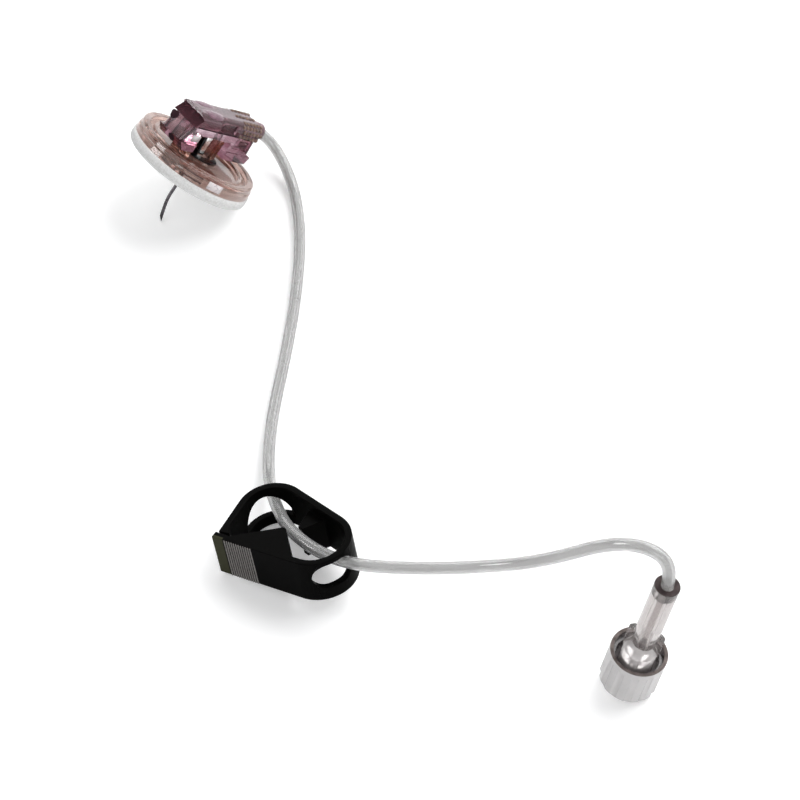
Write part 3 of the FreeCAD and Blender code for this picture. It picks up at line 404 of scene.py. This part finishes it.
def add_tip_strip(material):
    """The olive tone of the clamp's bare tip, up to where its ridges start."""
    tree = material.node_tree
    shader = tree.nodes["Principled BSDF"]
    source = shader.inputs["Base Color"].links[0].from_socket
    where = tree.nodes.new("ShaderNodeTexCoord")
    from_tip = tree.nodes.new("ShaderNodeVectorMath")
    from_tip.operation = "SUBTRACT"
    from_tip.inputs[1].default_value = CLAMP_AT
    along = tree.nodes.new("ShaderNodeVectorMath")
    along.operation = "DOT_PRODUCT"
    along.inputs[1].default_value = CLAMP.to_3x3() @ ARM
    near = tree.nodes.new("ShaderNodeMath")
    near.operation = "LESS_THAN"
    near.inputs[1].default_value = TIP_STRIP * MM
    mix = tree.nodes.new("ShaderNodeMix")
    mix.data_type = "RGBA"
    mix.inputs["B"].default_value = OLIVE
    tree.links.new(where.outputs["Object"], from_tip.inputs[0])
    tree.links.new(from_tip.outputs["Vector"], along.inputs[0])
    tree.links.new(along.outputs["Value"], near.inputs[0])
    outward = tree.nodes.new("ShaderNodeVectorMath")
    outward.operation = "DOT_PRODUCT"
    outward.inputs[1].default_value = CLAMP.to_3x3() @ ARM_OUT
    outside = tree.nodes.new("ShaderNodeMath")
    outside.operation = "GREATER_THAN"
    outside.inputs[1].default_value = -TIP_THICK * MM
    both = tree.nodes.new("ShaderNodeMath")
    both.operation = "MULTIPLY"
    tree.links.new(from_tip.outputs["Vector"], outward.inputs[0])
    tree.links.new(outward.outputs["Value"], outside.inputs[0])
    tree.links.new(near.outputs["Value"], both.inputs[0])
    tree.links.new(outside.outputs["Value"], both.inputs[1])
    tree.links.new(both.outputs["Value"], mix.inputs["Factor"])
    tree.links.new(source, mix.inputs["A"])
    tree.links.new(mix.outputs["Result"], shader.inputs["Base Color"])


add_tip_strip(CLAMP_BLACK)

CAD_MATERIALS = {
    "base_disc": BASE_PINK,
    "tip_guard_clip": CLIP_STEEL_SHADED,
    "hub_lower_shell": HUB_LILAC,
    "hub_cover": COVER_LILAC,
    "needle_ferrule": FERRULE_STEEL,
    "needle": NEEDLE_STEEL_SHADED,
    "pinch_clamp": CLAMP_BLACK,
    "luer_connector": CONNECTOR_CLEAR,
    "luer_cap": CAP_CLEAR,
}
EDGE_ROUND = {
    "base_disc": 0.12,
    "tip_guard_clip": 0.06,
    "hub_lower_shell": 0.16,
    "hub_cover": 0.16,
    "needle_ferrule": 0.08,
    "pinch_clamp": 0.18,
    "luer_connector": 0.12,
    "luer_cap": 0.15,
}
WELD_REACH = 0.002
SHARP_ANGLE = 28.0
EDGE_STEPS = 3


def dress_cad(name):
    """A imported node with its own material, its edges rounded by a modifier."""
    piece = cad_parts[name]
    piece.data.materials.clear()
    piece.data.materials.append(CAD_MATERIALS[name])
    for polygon in piece.data.polygons:
        polygon.material_index = 0
        polygon.use_smooth = True
    weld = piece.modifiers.new("weld", "WELD")
    weld.merge_threshold = WELD_REACH * MM
    if name in EDGE_ROUND:
        bevel = piece.modifiers.new("round", "BEVEL")
        bevel.width = EDGE_ROUND[name] * MM
        bevel.segments = EDGE_STEPS
        bevel.limit_method = "ANGLE"
        bevel.angle_limit = math.radians(SHARP_ANGLE)
        bevel.use_clamp_overlap = True
        bevel.harden_normals = False
        normals = piece.modifiers.new("normals", "WEIGHTED_NORMAL")
        normals.keep_sharp = True


for node_name in CAD_MATERIALS:
    dress_cad(node_name)


def paint_faces(name, material, matrix, wanted):
    """A second material on the faces that wanted() picks by their middle and normal, in mm."""
    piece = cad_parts[name]
    piece.data.materials.append(material)
    back = matrix.inverted()
    turn = back.to_3x3()
    for polygon in piece.data.polygons:
        middle = (back @ polygon.center) / MM
        normal = turn @ polygon.normal
        if wanted(middle, normal):
            polygon.material_index = len(piece.data.materials) - 1


RIDGE_RISE = 0.02
RIDGE_LEAN = 0.3
SKIN = 0.06
CAP_BORE_LOW = 2.0


def is_ridge_flank(middle, normal):
    """The flank of each of the clamp's ridges that faces along its arm, which gets a painted
    highlight.
    """
    return middle.dot(ARM_OUT) > RIDGE_RISE and normal.dot(ARM) > RIDGE_LEAN


def is_cap_rim(middle, normal):
    """The cap's top face, painted dark as shade."""
    return middle.z > CAP_HEIGHT - SKIN


def is_cap_mouth(middle, normal):
    """The step, the mouth's wall and the bore behind the cap's rim, painted dark as shade."""
    from_axis = math.hypot(middle.x, middle.y)
    in_wall = CAP_BORE_RADIUS - SKIN < from_axis < CAP_MOUTH_RADIUS + SKIN
    return in_wall and CAP_BORE_LOW < middle.z < CAP_HEIGHT - SKIN


def is_collar(middle, normal):
    """The connector's round collar with its dome, without the fins' sides, which gets a painted
    highlight.
    """
    from_axis = math.hypot(middle.x, middle.y)
    return middle.z < COLLAR_NECK and LUER_MOUTH < from_axis < COLLAR_RADIUS + SKIN


def is_fin_edge(middle, normal):
    """The fins' outer ends."""
    at_fins = COLLAR_NECK - FIN_EDGE < middle.z < FIN_TOP + SKIN
    return at_fins and abs(middle.y) > COLLAR_RADIUS - SKIN


def is_socket_or_fin(middle, normal):
    """The ring at the socket's mouth, and the fins' outer ends, which get painted shade."""
    return middle.z > CONNECTOR_TOP - SKIN or is_fin_edge(middle, normal)


def is_ledge_groove(middle, normal):
    """The upright faces of the groove above the hub's finger ledges, which get painted shade."""
    at_groove = LEDGE_TOP - SKIN < middle.z < LEDGE_TOP + LEDGE_GROOVE + SKIN
    return at_groove and abs(normal.z) < FLAT_ACROSS


paint_faces("pinch_clamp", RIDGE_HIGHLIGHT, CLAMP, is_ridge_flank)
paint_faces("luer_cap", CAP_RIM_SHADE, STAND, is_cap_rim)
paint_faces("luer_cap", CAP_SHADE, STAND, is_cap_mouth)
paint_faces("luer_connector", SOCKET_AND_FIN_SHADE, STAND, is_socket_or_fin)
paint_faces("luer_connector", COLLAR_HIGHLIGHT, STAND, is_collar)
paint_faces("hub_lower_shell", GROOVE_SHADE, HEAD, is_ledge_groove)


def new_piece(name, mesh, material, body):
    """A smooth-shaded piece that rides on a body and carries a material slot's name."""
    piece = bpy.data.objects.new(name, mesh)
    bpy.context.scene.collection.objects.link(piece)
    piece.data.materials.append(material)
    for polygon in mesh.polygons:
        polygon.use_smooth = True
    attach(piece, body)
    return piece


def finished_mesh(shape, name):
    """The bmesh's shape as a mesh with that name."""
    mesh = bpy.data.meshes.new(name)
    shape.to_mesh(mesh)
    shape.free()
    return mesh


def add_box(shape, middle, size):
    """A box on the head's own axes, from its middle and its three widths in mm."""
    stretch = Matrix.Diagonal((*(width * MM for width in size), 1.0))
    bmesh.ops.create_cube(shape, size=1.0, matrix=HEAD @ Matrix.Translation(middle * MM) @ stretch)


def revolved(name, profile, matrix, steps):
    """A mesh of a closed profile of (radius, height) in mm spun about the matrix's Z."""
    shape = bmesh.new()
    corners = [shape.verts.new((radius * MM, 0.0, height * MM)) for radius, height in profile]
    edges = [shape.edges.new((corner, following))
             for corner, following in zip(corners, corners[1:] + corners[:1])]
    bmesh.ops.spin(shape, geom=corners + edges, cent=(0.0, 0.0, 0.0), axis=(0.0, 0.0, 1.0),
                   dvec=(0.0, 0.0, 0.0), angle=2 * math.pi, steps=steps, use_merge=True)
    bmesh.ops.remove_doubles(shape, verts=shape.verts, dist=WELD_REACH * MM / 4)
    bmesh.ops.transform(shape, matrix=matrix, verts=shape.verts)
    bmesh.ops.recalc_face_normals(shape, faces=shape.faces)
    return finished_mesh(shape, name)


# Foam pad

PAD_EDGE = 0.9
PAD_EDGE_STEPS = 4
PAD_SKIN = 0.02
PAD_SPANS = 7
PAD_STEPS = 96
# Steps in from the rim and down from the top, round the pad's upper edge
PAD_SHOULDER = ((0.0, 0.25), (0.15, 0.05), (0.4, 0.0))


def foam_profile():
    """Half a section of the pad: flat under, rounded at the rim, flat against the base."""
    outer = PAD_RADIUS - PAD_SKIN
    inner = BORE_RADIUS + PAD_SKIN
    reach = outer - PAD_EDGE - inner
    turns = [math.pi / 2 * step / PAD_EDGE_STEPS for step in range(PAD_EDGE_STEPS + 1)]
    under = [(inner + reach * index / PAD_SPANS, PAD_SKIN) for index in range(PAD_SPANS)]
    corner = [(outer - PAD_EDGE * (1 - math.sin(turn)), PAD_SKIN + PAD_EDGE * (1 - math.cos(turn)))
              for turn in turns]
    shoulder = [(outer - inward, PAD_THICK - down) for inward, down in PAD_SHOULDER]
    return under + corner + shoulder + [(inner, PAD_THICK)]


pad_mesh = revolved("foam_ring", foam_profile(), HEAD, PAD_STEPS)
pad = new_piece("foam_ring", pad_mesh, FOAM, "base")
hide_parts("foam_pad")

# Small forms on the hub, in millimetres on the head's own axes

DIMPLE_RADIUS = 0.5
DIMPLE_SINK = 0.08
DIMPLE_PITCH = 1.15
DIMPLE_START = 4.3
DIMPLE_COLUMNS = 6
DIMPLE_ANGLES = (0.0, 38.0, 76.0)
DIMPLE_FLAT = 0.75
DOME_STEPS = 3


def add_dome(shape, place, out, radius, flat, matrix):
    """A small flattened dome on a surface at a place, both in mm, out along a direction."""
    turn = out.to_track_quat("Z", "Y").to_matrix().to_4x4()
    squash = Matrix.Diagonal((1.0, 1.0, flat, 1.0))
    scale = Matrix.Scale(radius * MM, 4)
    whole = matrix @ Matrix.Translation(place * MM) @ turn @ squash @ scale
    bmesh.ops.create_icosphere(shape, subdivisions=DOME_STEPS, radius=1.0, matrix=whole)


def cover_rows():
    """Places and directions across the cover's top and its rounded edges, for one column."""
    middle_y = COVER_HALF - COVER_ROUND
    middle_z = COVER_TOP - COVER_ROUND
    rows = [(0.0, COVER_TOP, 0.0, 1.0)]
    for side in (-1, 1):
        for angle in (math.radians(degrees) for degrees in DIMPLE_ANGLES):
            rows.append((side * (middle_y + COVER_ROUND * math.cos(angle)),
                         middle_z + COVER_ROUND * math.sin(angle),
                         side * math.cos(angle), math.sin(angle)))
        rows.append((side * COVER_HALF, middle_z - DIMPLE_PITCH, side, 0.0))
    return rows


def dimple_mesh():
    """Rows of small domes round the cover's front, staggered from row to row."""
    shape = bmesh.new()
    for column in range(DIMPLE_COLUMNS):
        for index, (y, z, out_y, out_z) in enumerate(cover_rows()):
            along = DIMPLE_START + DIMPLE_PITCH * column + DIMPLE_PITCH / 2 * (index % 2)
            out = Vector((0.0, out_y, out_z))
            place = Vector((along, y, z)) - out * DIMPLE_SINK
            add_dome(shape, place, out, DIMPLE_RADIUS, DIMPLE_FLAT, HEAD)
    return finished_mesh(shape, "grip_dimples")


new_piece("grip_dimples", dimple_mesh(), AMBER, "hub")


# Each mark's middle in mm, its direction out, its radius in mm and its flatness
HUB_MARKS = (
    ((-HUB_REAR - 0.45, 2.2, 11.0), (-1.0, 0.0, 0.45), 1.0, 0.25),
    ((-HUB_REAR - 0.75, -0.4, 7.1), (-1.0, 0.0, -0.8), 0.9, 0.3),
    ((-HUB_REAR + 0.4, SHELL_HALF, 11.0), (-0.7, 0.7, 0.0), 0.6, 0.9),
)


def spot_mesh():
    """Two small dark domes on the hub's rear end and a small peg on its far side."""
    shape = bmesh.new()
    for place, out, radius, flat in HUB_MARKS:
        add_dome(shape, Vector(place), Vector(out).normalized(), radius, flat, HEAD)
    return finished_mesh(shape, "dark_spots_and_peg")


new_piece("dark_spots_and_peg", spot_mesh(), DARK_SPOTS_AND_SEAM_SHADE, "hub")

BEAD_RISE = 0.13
BEAD_PROUD = 0.06
BEAD_REAR = -10.2
BEAD_FRONT = 9.4


def bead_mesh():
    """A thin dark strip where the hub's two halves meet, along both sides: the joint line, with
    painted shade of the gap under the cover's edge.
    """
    shape = bmesh.new()
    size = (BEAD_FRONT - BEAD_REAR, BEAD_PROUD * 2, BEAD_RISE * 2)
    for side in (-1, 1):
        across = side * (COVER_HALF + BEAD_PROUD / 2)
        add_box(shape, Vector(((BEAD_FRONT + BEAD_REAR) / 2, across, SEAM + BEAD_RISE)), size)
    return finished_mesh(shape, "joint_shade_strip")


new_piece("joint_shade_strip", bead_mesh(), DARK_SPOTS_AND_SEAM_SHADE, "hub")

LENS_MIDDLE = Vector((-5.6, 1.65, 14.6))
LENS_HALF = (4.0, 1.55, 0.72)
LENS_STEPS = 4


def lens_mesh():
    """Two long shallow bosses side by side on the cover's top, in a darker lilac that is painted
    shade.
    """
    shape = bmesh.new()
    for side in (-1, 1):
        place = Vector((LENS_MIDDLE.x, side * LENS_MIDDLE.y, LENS_MIDDLE.z))
        stretch = Matrix.Diagonal((*(half * MM for half in LENS_HALF), 1.0))
        bmesh.ops.create_icosphere(shape, subdivisions=LENS_STEPS, radius=1.0,
                                   matrix=HEAD @ Matrix.Translation(place * MM) @ stretch)
    return finished_mesh(shape, "top_lenses")


new_piece("top_lenses", lens_mesh(), TOP_LENS_SHADED, "hub")

HIGHLIGHT_ALONG = -8.4
HIGHLIGHT_UP = 9.3
HIGHLIGHT_SIZE = (2.6, 0.12, 1.5)


def highlight_panel_mesh():
    """A pale plate on each side of the lower shell, behind the clip: a painted highlight where the
    flat side reflects the light.
    """
    shape = bmesh.new()
    for side in (-1, 1):
        add_box(shape, Vector((HIGHLIGHT_ALONG, side * SHELL_HALF, HIGHLIGHT_UP)), HIGHLIGHT_SIZE)
    return finished_mesh(shape, "highlight_panels")


new_piece("highlight_panels", highlight_panel_mesh(), HIGHLIGHT_PANEL, "hub")

# Strips round the base's rim: a painted highlight, and painted shade in a slot

RIM_RADIUS = 13.72
RIM_PROUD = 0.2
RIM_STEPS = 8


def rim_strip(name, start, span, low, high):
    """A short strip round the base's rim, from an angle and between two heights in mm."""
    shape = bmesh.new()
    outline = ((RIM_RADIUS, low), (RIM_RADIUS + RIM_PROUD, low),
               (RIM_RADIUS + RIM_PROUD, high), (RIM_RADIUS, high))
    corners = [shape.verts.new((radius * MM, 0.0, height * MM)) for radius, height in outline]
    end = shape.faces.new(corners)
    turn = Matrix.Rotation(math.radians(start), 4, "Z")
    bmesh.ops.transform(shape, matrix=turn, verts=shape.verts)
    whole = [end] + list(end.edges) + list(end.verts)
    bmesh.ops.spin(shape, geom=whole, cent=(0.0, 0.0, 0.0), axis=(0.0, 0.0, 1.0), dvec=(0.0, 0.0, 0.0),
                   angle=math.radians(span), steps=RIM_STEPS, use_merge=False)
    bmesh.ops.transform(shape, matrix=HEAD, verts=shape.verts)
    bmesh.ops.recalc_face_normals(shape, faces=shape.faces)
    return finished_mesh(shape, name)


# Each strip's name, start and span in degrees, bottom and top in mm, and material
RIM_STRIPS = (
    ("rim_highlight", 237.0, 14.0, 3.0, 4.7, HIGHLIGHT_PANEL),
    ("rim_slot_low", 211.0, 20.0, 3.1, 3.45, RIM_SLOT_SHADE),
    ("rim_slot_high", 211.0, 20.0, 4.2, 4.55, RIM_SLOT_SHADE),
)
for strip_name, start, span, low, high, material in RIM_STRIPS:
    new_piece(strip_name, rim_strip(strip_name, start, span, low, high), material, "base")

# Tube

TUBE_SIDES = 48
ROUTE_STEPS = 16


def route_line():
    """The points of the route's own smooth spline."""
    curve = bpy.data.curves.new("tube_route", "CURVE")
    curve.dimensions = "3D"
    curve.resolution_u = ROUTE_STEPS
    spline = curve.splines.new("NURBS")
    spline.points.add(len(TUBE_POINTS) - 1)
    for point, place in zip(spline.points, TUBE_POINTS):
        point.co = (*place, 1.0)
    spline.order_u = 3
    spline.use_endpoint_u = True
    carrier = bpy.data.objects.new("tube_route", curve)
    mesh = bpy.data.meshes.new_from_object(carrier)
    line = [vertex.co.copy() for vertex in mesh.vertices]
    bpy.data.objects.remove(carrier)
    bpy.data.meshes.remove(mesh)
    return line


def tube_mesh(line):
    """A hollow tube along a line: an outer and an inner wall, joined at both ends."""
    shape = bmesh.new()
    walls = {TUBE_RADIUS: [], TUBE_BORE_RADIUS: []}
    heading = (line[1] - line[0]).normalized()
    side = heading.orthogonal().normalized()
    for index, place in enumerate(line):
        before = line[max(index - 1, 0)]
        after = line[min(index + 1, len(line) - 1)]
        ahead = (after - before).normalized()
        side = (side - ahead * side.dot(ahead)).normalized()
        across = ahead.cross(side)
        for radius, rings in walls.items():
            ring = []
            for step in range(TUBE_SIDES):
                angle = 2 * math.pi * step / TUBE_SIDES
                out = side * math.cos(angle) + across * math.sin(angle)
                ring.append(shape.verts.new(place + out * radius * MM))
            rings.append(ring)
    for rings in walls.values():
        for ring, following in zip(rings, rings[1:]):
            for step in range(TUBE_SIDES):
                beside = (step + 1) % TUBE_SIDES
                shape.faces.new((ring[step], ring[beside], following[beside], following[step]))
    for end in (0, -1):
        outer, inner = walls[TUBE_RADIUS][end], walls[TUBE_BORE_RADIUS][end]
        for step in range(TUBE_SIDES):
            beside = (step + 1) % TUBE_SIDES
            shape.faces.new((outer[step], outer[beside], inner[beside], inner[step]))
    bmesh.ops.recalc_face_normals(shape, faces=shape.faces)
    return finished_mesh(shape, "clear_tube")


LINE = route_line()
tube = new_piece("clear_tube", tube_mesh(LINE), TUBE_CLEAR, "hub")
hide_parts("tubing")


# Stage

def floor_material():
    """A pale matt floor that the camera sees a little brighter than the lamps make it."""
    material, tree, shader = new_material("pale_floor")
    shader.inputs["Roughness"].default_value = 0.9
    shader.inputs["Specular IOR Level"].default_value = 0.1
    shader.inputs["Base Color"].default_value = grey(FLOOR_GREY)
    shader.inputs["Emission Color"].default_value = grey(1.0)
    path = tree.nodes.new("ShaderNodeLightPath")
    lift = tree.nodes.new("ShaderNodeMath")
    lift.operation = "MULTIPLY"
    lift.inputs[1].default_value = FLOOR_LIFT
    tree.links.new(path.outputs["Is Camera Ray"], lift.inputs[0])
    tree.links.new(lift.outputs["Value"], shader.inputs["Emission Strength"])
    return material


def make_floor():
    """The floor under the set, as part of the stage."""
    shape = bmesh.new()
    bmesh.ops.create_grid(shape, x_segments=1, y_segments=1, size=FLOOR_SIZE / 2)
    mesh = finished_mesh(shape, "floor")
    floor = bpy.data.objects.new("floor", mesh)
    floor.location = (VIEW_TARGET.x, VIEW_TARGET.y, 0.0)
    bpy.context.scene.collection.objects.link(floor)
    mesh.materials.append(floor_material())


def soft_light(name, place, size, power, lights_matt=True):
    """An area light that faces the middle of the set, or only glints on its gloss."""
    data = bpy.data.lights.new(name, "AREA")
    data.shape = "RECTANGLE"
    data.size, data.size_y = size
    data.energy = power
    light = bpy.data.objects.new(name, data)
    light.location = VIEW_TARGET + Vector(place)
    aim = VIEW_TARGET - light.location
    light.rotation_euler = aim.to_track_quat("-Z", "Y").to_euler()
    bpy.context.scene.collection.objects.link(light)
    light.visible_diffuse = lights_matt


def make_world():
    """Even grey light from all round, and a white backdrop that rises past the floor."""
    world = bpy.data.worlds.new("studio")
    bpy.context.scene.world = world
    world.use_nodes = True
    nodes, links = world.node_tree.nodes, world.node_tree.links
    out = nodes["World Output"]
    around = nodes["Background"]
    around.inputs["Color"].default_value = ROOM_COLOR
    around.inputs["Strength"].default_value = ROOM_LIGHT
    seen = nodes.new("ShaderNodeBackground")
    seen.inputs["Color"].default_value = grey(1.0)
    seen.inputs["Strength"].default_value = 1.0
    path = nodes.new("ShaderNodeLightPath")
    where = nodes.new("ShaderNodeTexCoord")
    parts = nodes.new("ShaderNodeSeparateXYZ")
    low = nodes.new("ShaderNodeMath")
    low.operation = "LESS_THAN"
    low.inputs[1].default_value = BACKDROP_RISE
    either = nodes.new("ShaderNodeMath")
    either.operation = "MAXIMUM"
    seen_low = nodes.new("ShaderNodeMath")
    seen_low.operation = "MULTIPLY"
    white = nodes.new("ShaderNodeMath")
    white.operation = "MAXIMUM"
    mix = nodes.new("ShaderNodeMixShader")
    links.new(where.outputs["Generated"], parts.inputs["Vector"])
    links.new(parts.outputs["Z"], low.inputs[0])
    links.new(path.outputs["Is Glossy Ray"], either.inputs[0])
    links.new(path.outputs["Is Transmission Ray"], either.inputs[1])
    links.new(either.outputs["Value"], seen_low.inputs[0])
    links.new(low.outputs["Value"], seen_low.inputs[1])
    links.new(path.outputs["Is Camera Ray"], white.inputs[0])
    links.new(seen_low.outputs["Value"], white.inputs[1])
    links.new(white.outputs["Value"], mix.inputs["Fac"])
    links.new(around.outputs["Background"], mix.inputs[1])
    links.new(seen.outputs["Background"], mix.inputs[2])
    links.new(mix.outputs["Shader"], out.inputs["Surface"])


make_floor()
make_world()
soft_light("key", place=(0.5, 0.3, 0.7), size=(0.8, 0.8), power=8.5)
soft_light("fill", place=(-0.5, -0.2, 0.6), size=(0.9, 0.8), power=2.0)
soft_light("back", place=(-0.1, 0.6, 0.45), size=(0.9, 0.4), power=2.6)
soft_light("front", place=(0.15, -0.65, 0.3), size=(0.8, 0.35), power=2.2)
soft_light("glint", place=(-0.62, -0.05, 0.3), size=(0.22, 0.22), power=1.3, lights_matt=False)

scene = bpy.context.scene
scene.view_settings.view_transform = "Standard"
scene.view_settings.look = "None"


def make_camera():
    """The camera, as far above and before the set as in the photograph."""
    data = bpy.data.cameras.new("camera")
    data.lens = LENS
    data.sensor_width = SENSOR
    data.clip_start = NEAREST
    data.clip_end = FARTHEST
    camera = bpy.data.objects.new("camera", data)
    lift = math.radians(VIEW_ELEVATION)
    toward = Vector((0.0, -math.cos(lift), math.sin(lift)))
    camera.location = VIEW_TARGET + toward * VIEW_DISTANCE
    camera.rotation_euler = (math.pi / 2 - lift, 0.0, 0.0)
    scene.collection.objects.link(camera)
    scene.camera = camera


make_camera()
